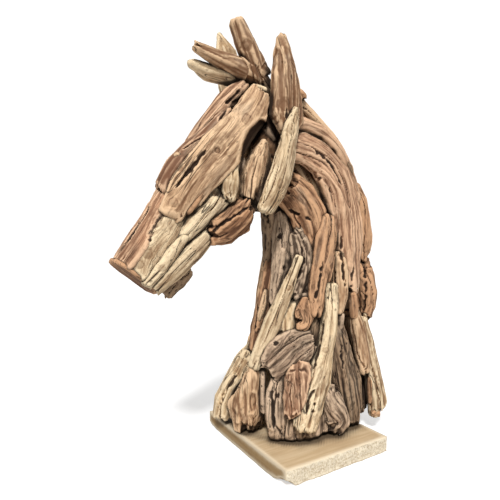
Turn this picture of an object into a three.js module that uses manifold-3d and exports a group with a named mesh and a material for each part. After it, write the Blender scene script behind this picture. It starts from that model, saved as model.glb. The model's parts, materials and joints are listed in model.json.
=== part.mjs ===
// A horse's head and neck built up from pieces of driftwood, standing on a wooden slab.
// Millimetres, +Z up. The horse looks along -X, its left side is -Y, and the origin is the middle of the
// slab's underside. Every stick, plank, root and log is one closed solid of its own: the pieces that lie
// outermost keep their whole shape, and each piece under them is scribed to fit around them.
import * as THREE from "three";
import { mergeVertices } from "three/addons/utils/BufferGeometryUtils.js";
import Module from "manifold-3d";

const wasm = await Module();
wasm.setup();

// The slab that everything stands on.
const SLAB = { length: 290, width: 350, thick: 35, edgeRound: 5 };
// Paths count their heights from 24 mm below the slab's top face, so the finished pieces are raised by this.
const PATH_RISE = SLAB.thick - 24;
// Wood never touches wood: this is the joint left when one piece is scribed to another.
const JOINT = 0.4;
// Sections have this many sides, and a station about every so many millimetres of length.
const SIDES = 8;
const STATION = 70;
// How far a section's corners wander in and out, as a share of its size.
const ROUGHNESS = 0.07;
// What a piece has unless it says otherwise: how square its section is, the share of its size left at each
// end, and how far its ends wander along the grain.
const POWER = 2.6;
const BLUNT = [0.85, 0.85];
const RAGGED = 4;
// Corners closer than this are one corner.
const WELD = 1e-3;

// Wood finishes, from the palest to the darkest.
const TONES = {
  pale: { color: 0xd9b98c, roughness: 0.85 },
  honey: { color: 0xc99a6b, roughness: 0.8 },
  rose: { color: 0xc08a70, roughness: 0.78 },
  rust: { color: 0x9c6442, roughness: 0.8 },
  grey: { color: 0x9a8470, roughness: 0.9 },
  umber: { color: 0x6b4a36, roughness: 0.9 },
  slab: { color: 0xd8c2a0, roughness: 0.75 },
};

// The line through the middle of the neck and then of the head: a piece's outer face looks away from it.
const MIDLINE = [
  [28, 0, 0], [50, 0, 250], [70, 0, 500], [60, 0, 640], [0, 0, 760], [-65, 0, 811], [-391, 0, 401],
].map((p) => new THREE.Vector3(...p));

// The muzzle's cut end lies square to the head's line here.
const MUZZLE = { centre: [-389, 0, 401], depth: 106, width: 100, board: 5, power: 3, corners: 16 };

// Repeatable unevenness between -1 and 1.
function uneven(a, b) {
  const wave = Math.sin(a * 12.9898 + b * 78.233) * 43758.5453;
  return 2 * (wave - Math.floor(wave)) - 1;
}

// The way out from the midline at a point.
function outwardAt(point) {
  let nearest = null;
  for (let i = 1; i < MIDLINE.length; i++) {
    const stretch = new THREE.Line3(MIDLINE[i - 1], MIDLINE[i]);
    const foot = stretch.closestPointToPoint(point, true, new THREE.Vector3());
    if (!nearest || foot.distanceTo(point) < nearest.distanceTo(point)) nearest = foot;
  }
  return point.clone().sub(nearest);
}

// A value that runs smoothly through the ones given, spread evenly from 0 to 1.
function along(values, t) {
  const at = t * (values.length - 1);
  const i = Math.min(Math.floor(at), values.length - 2);
  const blend = (at - i) * (at - i) * (3 - 2 * (at - i));
  return values[i] + (values[i + 1] - values[i]) * blend;
}

// The outline of a section: 2 is an ellipse, and higher powers are squarer.
function sectionPoint(angle, power) {
  const c = Math.cos(angle);
  const s = Math.sin(angle);
  const reach = Math.pow(Math.pow(Math.abs(c), power) + Math.pow(Math.abs(s), power), -1 / power);
  return [c * reach, s * reach];
}

// A stick, plank, root or log: sections strung along a path whose points lie on its outer face. The widths
// and depths run from the path's start to its end. face turns the outer face where it isn't square to the
// midline, lift raises the piece, blunt is the share of its size left at each end, ragged is how far the ends
// wander along the grain, and power sets how square the section is. grow is a margin all round.
function staveGeometry(piece, grow) {
  const points = piece.path.map((p) => new THREE.Vector3(...p));
  const curve = points.length > 2 ? new THREE.CatmullRomCurve3(points, false, "centripetal")
    : new THREE.LineCurve3(...points);
  const length = curve.getLength();
  const stations = Math.max(3, Math.round(length / STATION) + 2);
  const sides = piece.sides ?? SIDES;
  const vertices = [];
  const last = stations - 1;
  const blunt = piece.blunt ?? BLUNT;
  const middles = [];
  for (let i = 0; i < stations; i++) {
    const t = i / last;
    const tangent = curve.getTangentAt(t);
    const out = piece.face ? new THREE.Vector3(...piece.face) : outwardAt(curve.getPointAt(t));
    out.addScaledVector(tangent, -out.dot(tangent)).normalize();
    const side = new THREE.Vector3().crossVectors(out, tangent);
    const end = i === 0 ? blunt[0] : i === last ? blunt[1] : 1;
    const halfWidth = (along(piece.width, t) / 2) * end + grow;
    const halfDepth = (along(piece.depth, t) / 2) * end + grow;
    const middle = curve.getPointAt(t).addScaledVector(out, (piece.lift ?? 0) - along(piece.depth, t) / 2);
    if (i === 0) middle.addScaledVector(tangent, -grow);
    if (i === last) middle.addScaledVector(tangent, grow);
    middles.push(middle);
    for (let j = 0; j < sides; j++) {
      const angle = ((j + 0.5) / sides) * Math.PI * 2;
      const [w, d] = sectionPoint(angle, piece.power ?? POWER);
      const wander = 1 + ROUGHNESS * uneven(piece.seed + i, j);
      const ragged = (i === 0 || i === last ? piece.ragged ?? RAGGED : 0) * uneven(j, piece.seed + i);
      const corner = middle.clone()
        .addScaledVector(side, w * halfWidth * wander)
        .addScaledVector(out, d * halfDepth * wander)
        .addScaledVector(tangent, ragged);
      vertices.push(corner);
    }
  }
  const faces = [];
  for (let i = 0; i < last; i++) {
    for (let j = 0; j < sides; j++) {
      const k = (j + 1) % sides;
      const [a, b, c, d] = [i * sides + j, i * sides + k, (i + 1) * sides + k, (i + 1) * sides + j];
      faces.push(a, b, c, a, c, d);
    }
  }
  const capStart = vertices.push(middles[0]) - 1;
  const capEnd = vertices.push(middles[last]) - 1;
  for (let j = 0; j < sides; j++) {
    const k = (j + 1) % sides;
    faces.push(capStart, k, j, capEnd, last * sides + j, last * sides + k);
  }
  const geometry = new THREE.BufferGeometry();
  geometry.setFromPoints(vertices);
  geometry.setIndex(faces);
  geometry.translate(0, 0, PATH_RISE);
  return geometry;
}

// The slab: a board with eased edges.
function slabGeometry(grow) {
  const { length, width, thick, edgeRound } = SLAB;
  const x = length / 2 + grow - edgeRound;
  const y = width / 2 + grow - edgeRound;
  const outline = new THREE.Shape();
  outline.absarc(x, y, edgeRound, 0, Math.PI / 2);
  outline.absarc(-x, y, edgeRound, Math.PI / 2, Math.PI);
  outline.absarc(-x, -y, edgeRound, Math.PI, Math.PI * 1.5);
  outline.absarc(x, -y, edgeRound, Math.PI * 1.5, Math.PI * 2);
  return new THREE.ExtrudeGeometry(outline, { depth: thick + grow, bevelEnabled: false, curveSegments: 3 });
}

// The round-cornered board that closes the muzzle, square to the head's line.
function muzzleBoardGeometry(grow) {
  const { centre, depth, width, board, power, corners } = MUZZLE;
  const outline = new THREE.Shape();
  for (let j = 0; j < corners; j++) {
    const [u, v] = sectionPoint((j / corners) * Math.PI * 2, power);
    outline[j ? "lineTo" : "moveTo"]((u * depth) / 2 + grow * u, (v * width) / 2 + grow * v);
  }
  outline.closePath();
  const geometry = new THREE.ExtrudeGeometry(outline, { depth: board + 2 * grow, bevelEnabled: false });
  geometry.translate(0, 0, -grow);
  const line = MIDLINE.at(-1).clone().sub(MIDLINE.at(-2)).normalize();
  const across = new THREE.Vector3(0, 1, 0);
  const down = new THREE.Vector3().crossVectors(across, line);
  geometry.applyMatrix4(new THREE.Matrix4().makeBasis(down, across, line));
  geometry.translate(...centre);
  geometry.translate(0, 0, PATH_RISE);
  return geometry;
}

// A closed geometry as a solid that can be cut and joined.
function solidOf(geometry) {
  const bare = geometry.index ? geometry.toNonIndexed() : geometry.clone();
  bare.deleteAttribute("normal");
  bare.deleteAttribute("uv");
  const merged = mergeVertices(bare, WELD);
  return new wasm.Manifold(new wasm.Mesh({
    numProp: 3,
    vertProperties: merged.attributes.position.array,
    triVerts: new Uint32Array(merged.index.array),
  }));
}

// A piece is one or more staves grown together, such as a fork.
function shapeOf(piece, grow) {
  if (piece.make) return solidOf(piece.make(grow));
  return [piece, ...(piece.limbs ?? []).map((limb) => ({ ...piece, limbs: null, ...limb }))]
    .map((limb) => solidOf(staveGeometry(limb, grow)))
    .reduce((whole, limb) => whole.add(limb));
}

function biggestBody(solid) {
  return solid.decompose().reduce((a, b) => (b.volume() > a.volume() ? b : a));
}

function touching(a, b) {
  return [0, 1, 2].every((i) => a.min[i] < b.max[i] && b.min[i] < a.max[i]);
}

function meshOf(name, tone, solid) {
  const { vertProperties, triVerts } = solid.getMesh();
  const geometry = new THREE.BufferGeometry();
  geometry.setAttribute("position", new THREE.BufferAttribute(vertProperties, 3));
  geometry.setIndex(new THREE.BufferAttribute(triVerts, 1));
  const mesh = new THREE.Mesh(geometry, new THREE.MeshStandardMaterial({ ...TONES[tone], metalness: 0 }));
  mesh.name = name;
  return mesh;
}

// Ears and the branches between them.
const CROWN = [
  { name: "left_ear", tone: "honey", face: [0.1, -1, 0], power: 2.2, blunt: [0.7, 0.5], ragged: 2,
    path: [[-68, -92, 700], [-67, -94, 775], [-67, -84, 850], [-69, -74, 905], [-79, -66, 966]],
    width: [20, 88, 68, 38, 10], depth: [16, 50, 44, 28, 8] },
  { name: "forked_branch", tone: "honey", power: 2.1, face: [0, 0, 1], ragged: 4,
    path: [[-58, -15, 838], [-112, -15, 880], [-168, -12, 892], [-225, -14, 890], [-274, -16, 898]],
    width: [40, 44, 42, 26, 18], depth: [38, 50, 46, 30, 20],
    limbs: [{ path: [[-128, -18, 848], [-166, -20, 912], [-188, -22, 956]], face: [-1, 0, 0.6],
      width: [44, 42, 38], depth: [56, 46, 38] }] },
  { name: "lower_branch", tone: "pale", power: 2.1, face: [0, 0, 1], ragged: 4,
    path: [[-132, 6, 864], [-168, 6, 872], [-206, 6, 864], [-238, 8, 868], [-272, 8, 868]],
    width: [20, 40, 38, 28, 16], depth: [14, 34, 38, 28, 14] },
  { name: "right_ear", tone: "pale", face: [0, 1, 0], power: 2.2, blunt: [0.8, 0.5], ragged: 2,
    path: [[-140, 78, 812], [-142, 82, 872], [-146, 84, 930], [-153, 84, 966], [-163, 84, 994]],
    width: [56, 62, 60, 50, 12], depth: [36, 32, 30, 24, 8] },
];

// The face: brow, nose and chin, and the cheek and jaw of the left side.
const FACE = [
  { name: "left_jaw_strap", tone: "pale", face: [0.15, -1, -0.1], lift: 14, blunt: [0.7, 0.85],
    path: [[-62, -92, 770], [-84, -97, 690], [-104, -97, 612], [-142, -88, 535]],
    width: [16, 48, 54, 38], depth: [16, 26, 28, 24] },
  { name: "left_cheek_plank", tone: "honey", face: [-0.2, -1, 0.1], lift: 6,
    path: [[-132, -72, 806], [-166, -80, 742], [-212, -84, 690],
      [-256, -76, 628], [-298, -66, 578], [-334, -56, 518]],
    width: [50, 68, 66, 86, 76, 54], depth: [38, 40, 38, 34, 28, 20] },
  { name: "left_muzzle_plank", tone: "pale", face: [-0.3, -1, 0],
    path: [[-320, -58, 530], [-356, -55, 468], [-398, -50, 399]],
    width: [52, 64, 66], depth: [24, 28, 28] },
  { name: "left_cheek_log", tone: "pale", power: 2.1, face: [0.1, -1, 0], ragged: 2, blunt: [0.95, 0.6],
    path: [[-226, -76, 568], [-262, -68, 526], [-310, -60, 474], [-334, -56, 444]],
    width: [48, 48, 38, 20], depth: [42, 42, 30, 18] },
  { name: "left_jaw_wedge", tone: "pale", face: [0.1, -1, 0], blunt: [0.7, 0.8], ragged: 3,
    path: [[-204, -84, 626], [-212, -83, 588], [-214, -80, 556]],
    width: [22, 38, 34], depth: [22, 30, 28] },
  { name: "left_lip_strip", tone: "pale", face: [0, -1, 0],
    path: [[-306, -68, 478], [-342, -63, 432], [-380, -56, 382]],
    width: [18, 26, 26], depth: [20, 24, 22] },
  { name: "left_chin_plank", tone: "pale", face: [0.2, -1, -0.2],
    path: [[-250, -62, 482], [-305, -60, 424], [-362, -50, 372]],
    width: [34, 46, 36], depth: [18, 22, 20] },
  { name: "left_jaw_stave", tone: "rust", face: [0.2, -1, -0.1], blunt: [0.85, 0.8],
    path: [[-156, -78, 556], [-178, -78, 524], [-214, -74, 494], [-258, -66, 470]],
    width: [50, 74, 66, 38], depth: [36, 42, 38, 26] },
  { name: "left_eye_block", tone: "honey", face: [0.1, -1, 0], lift: 2, blunt: [0.6, 0.9],
    path: [[-122, -76, 692], [-140, -80, 625], [-156, -78, 558]],
    width: [26, 64, 62], depth: [26, 42, 40] },
  { name: "left_temple_block", tone: "rust", face: [0.1, -1, 0],
    path: [[-80, -56, 794], [-98, -54, 744], [-108, -50, 684]],
    width: [66, 84, 74], depth: [24, 30, 26] },
  { name: "brow_stave", tone: "rose", lift: 6,
    path: [[-152, 0, 844], [-198, 0, 794], [-242, 0, 736], [-276, 0, 684]],
    width: [60, 76, 74, 56], depth: [34, 38, 36, 24] },
  { name: "nose_stave", tone: "rose", lift: 4, face: [-0.7, -1, 0.4],
    path: [[-206, -62, 752], [-252, -54, 696], [-290, -46, 654], [-316, -36, 616], [-342, -28, 570]],
    width: [18, 36, 50, 56, 50], depth: [22, 30, 36, 34, 24] },
  { name: "muzzle_top_stave", tone: "rose", lift: 2, face: [-1, -0.6, 0.5],
    path: [[-332, -26, 580], [-363, -26, 526], [-390, -28, 482], [-429, -28, 427]],
    width: [56, 66, 66, 70], depth: [28, 34, 34, 34] },
  { name: "chin_lump", tone: "umber", power: 2.2, face: [0.5, 0, -1],
    path: [[-264, 2, 404], [-290, 4, 372], [-314, 6, 348]],
    width: [36, 52, 46], depth: [26, 38, 34] },
  { name: "right_brow_stave", tone: "honey", sides: 6,
    path: [[-88, 42, 860], [-182, 50, 762], [-248, 46, 676],
      [-312, 38, 588], [-364, 34, 516], [-427, 30, 424]],
    width: [60, 84, 84, 68, 56, 48], depth: [34, 38, 36, 32, 30, 28] },
];

// The neck's left side, from the crest to the feet that stand on the slab.
const NECK_LEFT = [
  { name: "left_long_leg", tone: "pale", face: [-0.35, -1, 0], lift: 14, power: 2.3,
    path: [[40, -96, 372], [26, -104, 270], [-2, -108, 178], [-32, -112, 112], [-48, -112, 62]],
    width: [26, 38, 46, 74, 58], depth: [22, 28, 32, 46, 40] },
  { name: "diagonal_pole", tone: "pale", face: [-0.5, -1, 0], lift: 12,
    path: [[-36, -76, 440], [-62, -64, 366], [-90, -44, 278], [-118, -26, 188]],
    width: [16, 28, 38, 36], depth: [16, 24, 30, 28] },
  { name: "front_flare_root", tone: "honey", face: [-1, -0.9, 0], ragged: 5, lift: 8,
    path: [[-118, -24, 190], [-130, -16, 144], [-138, -8, 100], [-140, 0, 60], [-132, 4, 32]],
    width: [34, 48, 68, 86, 80], depth: [26, 34, 44, 54, 50] },
  { name: "left_neck_arc", tone: "rose", lift: 6, face: [0.1, -1, 0.05],
    path: [[-76, -70, 690], [-30, -72, 700], [38, -82, 674], [90, -88, 612],
      [112, -90, 524], [120, -93, 432], [122, -96, 348]],
    width: [50, 74, 108, 116, 96, 72, 44], depth: [26, 36, 42, 44, 40, 32, 24] },
  { name: "left_throat_log", tone: "rust", face: [-0.35, -1, -0.2], power: 2.3, blunt: [0.9, 0.8],
    path: [[-66, -66, 604], [-24, -76, 566], [6, -82, 506], [14, -82, 440]],
    width: [72, 92, 74, 40], depth: [44, 56, 50, 30] },
  { name: "left_mid_column", tone: "rust", face: [-0.2, -1, 0], lift: 8,
    path: [[42, -92, 540], [28, -96, 448], [8, -98, 376], [-6, -98, 306]],
    width: [34, 58, 54, 28], depth: [28, 36, 36, 22] },
  { name: "left_side_strip", tone: "honey", face: [0, -1, 0], lift: 2,
    path: [[80, -96, 456], [86, -98, 384], [70, -100, 304]],
    width: [36, 42, 26], depth: [24, 28, 20] },
  { name: "smooth_chip", tone: "rust", face: [-0.4, -1, 0.1], lift: 4, ragged: 2,
    path: [[-20, -88, 348], [-30, -92, 312], [-40, -94, 276]],
    width: [34, 50, 28], depth: [22, 28, 20] },
  { name: "left_throat_block", tone: "grey", face: [-0.45, -1, 0],
    path: [[-34, -66, 514], [-18, -76, 432], [-48, -72, 336]],
    width: [40, 58, 34], depth: [34, 42, 30] },
  { name: "left_inner_stave", tone: "pale", sides: 6, face: [-0.5, -1, 0],
    path: [[-40, -74, 352], [-56, -74, 300], [-72, -72, 248]],
    width: [34, 48, 44], depth: [24, 28, 26] },
  { name: "grey_plate", tone: "grey", face: [-0.55, -1, 0.1], lift: 4, ragged: 4,
    path: [[-14, -104, 262], [-62, -86, 228], [-110, -62, 180]],
    width: [50, 104, 64], depth: [22, 34, 28] },
  { name: "base_lobe", tone: "rose", face: [-0.5, -1, 0], lift: 7,
    path: [[-44, -96, 206], [-64, -102, 148], [-76, -106, 88]],
    width: [54, 58, 40], depth: [22, 26, 18] },
  { name: "base_front_plank", tone: "grey", face: [-0.35, -1, 0], ragged: 2, blunt: [0.9, 1], power: 4,
    path: [[-70, -80, 184], [-56, -94, 110], [-38, -94, 23]],
    width: [76, 126, 138], depth: [34, 46, 52] },
  { name: "left_splayed_foot", tone: "grey", face: [0, -1, 0], lift: 8,
    path: [[12, -110, 158], [36, -112, 98], [60, -118, 40]],
    width: [30, 58, 72], depth: [24, 36, 40] },
  { name: "left_bark_column", tone: "umber", face: [0.1, -1, 0],
    path: [[66, -96, 300], [84, -102, 200], [104, -106, 112], [112, -104, 20]],
    width: [40, 70, 86, 88], depth: [34, 44, 52, 54] },
  { name: "left_rear_stave", tone: "honey", face: [0.3, -1, 0], lift: 4,
    path: [[132, -96, 306], [158, -94, 226], [168, -94, 150]],
    width: [32, 50, 36], depth: [26, 34, 24] },
  { name: "left_rear_leg", tone: "pale", face: [0.4, -1, 0], lift: 6, blunt: [0.8, 0.95],
    path: [[188, -64, 288], [208, -80, 166], [222, -88, 88], [238, -88, 44]],
    width: [36, 46, 56, 84], depth: [24, 32, 38, 44] },
  { name: "inner_grey_stave", tone: "umber", sides: 6, face: [-0.4, -1, 0], lift: -8,
    path: [[-10, -98, 304], [-22, -98, 210], [-36, -98, 110]],
    width: [50, 54, 52], depth: [30, 32, 32] },
];

// Crest and back of the neck, throat and breast.
const NECK_MIDDLE = [
  { name: "crest_top_stave", tone: "honey", lift: 4,
    path: [[-46, -20, 842], [-2, -22, 834], [50, -24, 802],
      [104, -24, 760], [166, -22, 696], [202, -20, 636]],
    width: [48, 64, 72, 70, 62, 48], depth: [26, 34, 36, 36, 32, 24] },
  { name: "left_crest_strip", tone: "rose", face: [0.3, -1, 0.4], lift: 2,
    path: [[-66, -74, 748], [-26, -74, 756], [34, -78, 750],
      [90, -74, 716], [144, -66, 658], [178, -62, 590]],
    width: [24, 30, 34, 34, 34, 30], depth: [24, 28, 30, 30, 28, 24] },
  { name: "back_upper_stave", tone: "rust", lift: 2, face: [1, -0.3, 0.2],
    path: [[198, -22, 650], [230, -24, 590], [240, -24, 510], [238, -24, 430]],
    width: [50, 70, 74, 60], depth: [32, 44, 50, 40] },
  { name: "back_lower_stave", tone: "rust", lift: 4, face: [1, -0.5, 0],
    path: [[232, -34, 436], [248, -38, 360], [248, -38, 312], [232, -36, 262]],
    width: [60, 82, 80, 60], depth: [40, 52, 50, 36] },
  { name: "rear_block", tone: "umber", sides: 6, face: [0.6, -1, 0],
    path: [[210, -34, 274], [208, -46, 150], [204, -56, 30]],
    width: [72, 112, 120], depth: [44, 52, 56] },
  { name: "throat_front_stave", tone: "grey", face: [-0.6, -1, 0],
    path: [[-56, -34, 550], [-58, -42, 478], [-66, -46, 400], [-80, -46, 330]],
    width: [34, 44, 42, 34], depth: [30, 34, 32, 24] },
  { name: "throat_middle_stave", tone: "umber", sides: 6, face: [-1, -0.2, 0],
    path: [[-80, 2, 580], [-65, 4, 500], [-70, 6, 420]],
    width: [48, 60, 52], depth: [40, 48, 40] },
  { name: "breast_stave", tone: "rust", face: [-1, -0.6, 0],
    path: [[-62, -8, 476], [-72, -6, 410], [-84, -4, 340], [-98, 2, 270], [-106, 8, 214]],
    width: [34, 46, 54, 58, 48], depth: [30, 38, 40, 40, 32] },
  { name: "breast_root", tone: "pale", face: [-1, -0.5, 0], lift: 2, blunt: [0.85, 0.95],
    path: [[-98, 24, 226], [-130, 42, 162], [-152, 60, 110], [-166, 74, 68], [-164, 84, 30]],
    width: [40, 50, 54, 56, 50], depth: [30, 42, 46, 48, 44] },
];

// The right side, which the photo doesn't show: broader and plainer pieces in keeping with the left.
const RIGHT_SIDE = [
  { name: "right_jaw_strap", tone: "honey", face: [0.15, 1, -0.1], lift: 10, sides: 6, blunt: [0.6, 0.75],
    path: [[-58, 90, 764], [-80, 96, 684], [-108, 96, 606], [-146, 86, 540]],
    width: [34, 64, 64, 44], depth: [18, 26, 28, 22] },
  { name: "right_cheek_plank", tone: "rose", face: [-0.2, 1, 0.1], lift: 4, sides: 6,
    path: [[-84, 74, 812], [-172, 84, 724], [-244, 72, 626], [-314, 60, 528], [-380, 50, 420]],
    width: [84, 116, 108, 92, 84], depth: [40, 38, 34, 30, 26] },
  { name: "right_eye_block", tone: "grey", face: [0.1, 1, 0], sides: 6, blunt: [0.7, 0.85],
    path: [[-118, 76, 716], [-146, 78, 646], [-176, 74, 572]],
    width: [60, 88, 72], depth: [30, 40, 36] },
  { name: "right_jaw_log", tone: "honey", face: [0.2, 1, -0.2], power: 2.2, sides: 6,
    path: [[-146, 78, 574], [-216, 74, 508], [-290, 62, 438], [-358, 50, 376]],
    width: [70, 70, 56, 38], depth: [40, 42, 34, 24] },
  { name: "right_neck_arc", tone: "honey", face: [0.15, 1, 0.1], lift: 6, sides: 6,
    path: [[-78, 72, 714], [-30, 78, 720], [40, 84, 680], [98, 88, 606],
      [124, 92, 500], [128, 94, 400], [118, 98, 304]],
    width: [84, 112, 142, 150, 148, 132, 92], depth: [28, 36, 42, 44, 42, 36, 28] },
  { name: "right_crest_stave", tone: "rust", face: [0.5, 1, 0.5], lift: 4, sides: 6,
    path: [[-62, 54, 812], [-10, 58, 800], [62, 60, 760], [132, 60, 700], [190, 56, 608]],
    width: [72, 88, 92, 92, 70], depth: [30, 34, 38, 38, 30] },
  { name: "right_throat_stave", tone: "rose", face: [-0.4, 1, 0], lift: 2, sides: 6,
    path: [[-52, 66, 660], [-18, 78, 572], [12, 84, 460], [8, 88, 340]],
    width: [104, 122, 124, 112], depth: [42, 48, 44, 32] },
  { name: "right_front_root", tone: "honey", face: [-0.8, 1, 0], lift: 4, sides: 6,
    path: [[-32, 56, 500], [-46, 66, 380], [-64, 78, 250], [-88, 92, 140], [-98, 104, 18]],
    width: [56, 76, 90, 104, 108], depth: [34, 40, 44, 50, 56] },
  { name: "right_long_leg", tone: "pale", face: [0, 1, 0], lift: 8, power: 2.3, sides: 6,
    path: [[10, 90, 400], [12, 100, 270], [14, 108, 140], [10, 112, 18]],
    width: [86, 106, 108, 106], depth: [34, 40, 44, 48] },
  { name: "right_rear_root", tone: "grey", face: [0.3, 1, 0], sides: 6,
    path: [[112, 98, 372], [120, 104, 200], [122, 108, 18]],
    width: [128, 132, 126], depth: [40, 48, 54] },
  { name: "right_back_stave", tone: "honey", face: [1, 0.8, 0], lift: 2, sides: 6,
    path: [[206, 32, 626], [236, 42, 490], [240, 46, 360], [228, 50, 240]],
    width: [90, 116, 118, 104], depth: [40, 52, 54, 40] },
  { name: "right_rear_leg", tone: "rust", face: [0.8, 1, 0], sides: 6,
    path: [[206, 48, 290], [216, 58, 160], [222, 66, 34]],
    width: [96, 116, 118], depth: [44, 54, 60] },
];

const muzzleBoard = { name: "muzzle_board", tone: "rust", make: muzzleBoardGeometry };
const slab = { name: "base_slab", tone: "slab", make: slabGeometry };

// Outermost first: each piece is scribed around those before it.
const PIECES = [slab, muzzleBoard, ...CROWN, ...FACE, ...NECK_LEFT, ...NECK_MIDDLE, ...RIGHT_SIDE];

// Nothing but the slab reaches below its top face: this block cuts the feet off flat just above it.
function floorSolid() {
  const reach = 2000;
  const floor = new THREE.BoxGeometry(reach, reach, reach);
  floor.translate(0, 0, SLAB.thick + JOINT - reach / 2);
  return solidOf(floor);
}

const group = new THREE.Group();
const floor = floorSolid();
const fitted = [];
PIECES.forEach((piece, index) => {
  const numbered = { seed: index + 1, ...piece };
  let solid = shapeOf(numbered, 0);
  if (piece !== slab) {
    solid = solid.subtract(floor);
    for (const other of fitted) {
      if (touching(solid.boundingBox(), other.boundingBox())) solid = solid.subtract(other);
    }
    solid = biggestBody(solid);
  }
  fitted.push(shapeOf(numbered, JOINT));
  group.add(meshOf(piece.name, piece.tone, solid));
});

export default group;
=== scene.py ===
import json
import math

import bmesh
import bpy
import numpy as np
from mathutils import Matrix, Vector
from mathutils.bvhtree import BVHTree


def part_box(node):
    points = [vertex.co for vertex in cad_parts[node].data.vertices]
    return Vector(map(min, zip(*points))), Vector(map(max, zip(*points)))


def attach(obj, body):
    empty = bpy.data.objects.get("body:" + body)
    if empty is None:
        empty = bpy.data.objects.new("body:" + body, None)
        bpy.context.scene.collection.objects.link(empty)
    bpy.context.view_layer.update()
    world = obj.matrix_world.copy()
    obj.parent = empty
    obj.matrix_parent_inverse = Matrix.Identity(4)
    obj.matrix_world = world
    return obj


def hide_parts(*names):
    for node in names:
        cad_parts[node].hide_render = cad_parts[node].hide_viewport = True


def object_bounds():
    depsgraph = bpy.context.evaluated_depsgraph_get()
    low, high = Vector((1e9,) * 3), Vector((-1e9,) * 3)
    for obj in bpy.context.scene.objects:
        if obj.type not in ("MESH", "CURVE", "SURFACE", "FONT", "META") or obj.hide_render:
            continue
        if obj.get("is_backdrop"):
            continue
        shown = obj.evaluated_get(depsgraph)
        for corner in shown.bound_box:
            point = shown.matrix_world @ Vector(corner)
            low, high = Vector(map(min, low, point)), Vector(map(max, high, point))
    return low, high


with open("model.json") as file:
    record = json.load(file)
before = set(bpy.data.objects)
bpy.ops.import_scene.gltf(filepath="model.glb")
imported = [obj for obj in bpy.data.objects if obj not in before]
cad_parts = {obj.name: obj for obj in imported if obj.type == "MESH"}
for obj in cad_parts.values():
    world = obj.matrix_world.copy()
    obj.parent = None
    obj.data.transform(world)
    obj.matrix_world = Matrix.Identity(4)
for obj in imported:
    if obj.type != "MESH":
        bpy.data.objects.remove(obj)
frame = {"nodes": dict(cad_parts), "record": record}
CAD_LOW, CAD_HIGH = (np.array(corner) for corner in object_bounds())

# Lengths are in metres. The horse looks along -X, and the photographed side is -Y.

# The camera stands where the photograph was taken: level, with the horizon a little under the middle.
IMAGE = 500
FOCAL_PIXELS = 380
HORIZON_ROW = 262
CAMERA_PLACE = Vector((-0.5815, -0.7657, 0.439))
CAMERA_TURN = math.radians(31)
CAMERA_COSINE = math.cos(CAMERA_TURN)
CAMERA_SINE = math.sin(CAMERA_TURN)
SENSOR_MILLIMETRES = 36
NEAREST_SEEN = 0.01

# The slab's top face, which the feet stand on.
SLAB_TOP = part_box("base_slab")[1].z

# Wood surface: the mesh is remade in faces of one of these sizes, and its facets are worn round in so many
# passes. Before that, points this near are made one.
FINE_FACE = 0.0021
FACE = 0.0027
FAR_FACE = 0.0042
WEARING = 4
WELD = 1e-6
# What the wearing takes off, given back.
SWELL = 0.0012
# How high lumps stand and how thick a layer is, how deep torn places and scales go, and how much deeper the
# furrows are than their finish says.
LUMP = 0.0028
LAYER = 0.0016
TORN = 0.0035
SCALE = 0.0011
FURROWING = 1.25
# Between which values of their patterns the edge of a layer rises and a torn place opens.
LAYER_EDGE = (0.3, 0.5)
TORN_EDGE = (0.35, 0.6)
# How far apart the splits along the grain are, how deep, half their width, and between which shares of that
# their sides rise. They open between these values of the dryness, which is so much more at the ends.
SPLIT_SPACING = 0.019
SPLIT_DEPTH = 0.006
SPLIT_WIDTH = 0.0016
SPLIT_SIDE = (0.1, 1)
DRY = (-0.05, 0.3)
DRY_ENDS = 0.6
# How far in from its end a piece is bitten, and the share of its length that this never passes; how far back,
# and how much further where a second pattern is above a value.
END_REACH = 0.03
END_SHARE = 1 / 4
BITE = 0.018
STEP_BITE = 0.6
STEP_FROM = 0.1
# How far a groove reaches to either side, what share of that is usual and what share its tips have; how deep
# it is and how dark it is painted with shade; and how many points mark it, with how many at each end where it
# narrows.
GROOVE_WIDTH = 0.0052
GROOVE_SHARE = 0.9
GROOVE_NARROW = 0.3
GROOVE_DEPTH = 0.008
GROOVE_SHADE = 2
GROOVE_POINTS = 40
GROOVE_TIP = 8
# How near to a piece a knot belongs to it, how high it swells, and how deep it is a hole.
KNOT_REACH = 0.004
KNOT_SWELL = 0.0012
HOLE_DEPTH = 0.0025
# In a knot's own radii: where its edge begins and ends, how wide the ring on that edge is, and how far its
# swelling and the turned grain reach. Then how strongly the grain turns, and how dark the ring is.
KNOT_EDGE = (0.7, 1.05)
RING_WIDTH = 0.3
SWELL_REACH = 1.8
TURN_REACH = 2.2
TURN = 0.6
RING_DARK = 0.4
# One more knot to so much length, of a radius between these, and up to so deep.
STRAY_SPACING = 0.24
STRAY_RADIUS = (0.004, 0.007)
STRAY_DEPTH = 0.003
# A place is worn pale as it stands above its near and its wider neighbours, and on the driftwood painted with
# shade as it lies
# below them: how many times the mesh is evened out to find them, what height counts in full, and how much
# each counts.
NEAR_TIMES = 3
WIDE_TIMES = 16
NEAR_RELIEF = 0.001
WIDE_RELIEF = 0.0032
NEAR_SHARE = 0.6
WIDE_SHARE = 0.7
# A piece thinner than this has gentler relief, but no less than this share of it.
STOUT = 0.05
LEAST_RELIEF = 0.35
# How far a crevice is felt for its painted shade, how many rays feel for it from each point, how far out they
# start, how much they spread and the seed for that, and how many times what they feel is evened out.
CREVICE_REACH = 0.065
CREVICE_RAYS = 3
CREVICE_START = 0.0012
CREVICE_SPREAD = 0.9
CREVICE_SEED = 11
CREVICE_TIMES = 4
# A piece that comes so near the slab stands on it, and is drawn down over so much of its foot.
FOOT_GAP = 0.006
FOOT_REACH = 0.03


# A linear colour from a hex code, by the sRGB curve.
def paint(code):
    parts = [int(code[i:i + 2], 16) / 255 for i in (0, 2, 4)]
    return tuple(p / 12.92 if p <= 0.04045 else ((p + 0.055) / 1.055) ** 2.4 for p in parts)


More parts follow.
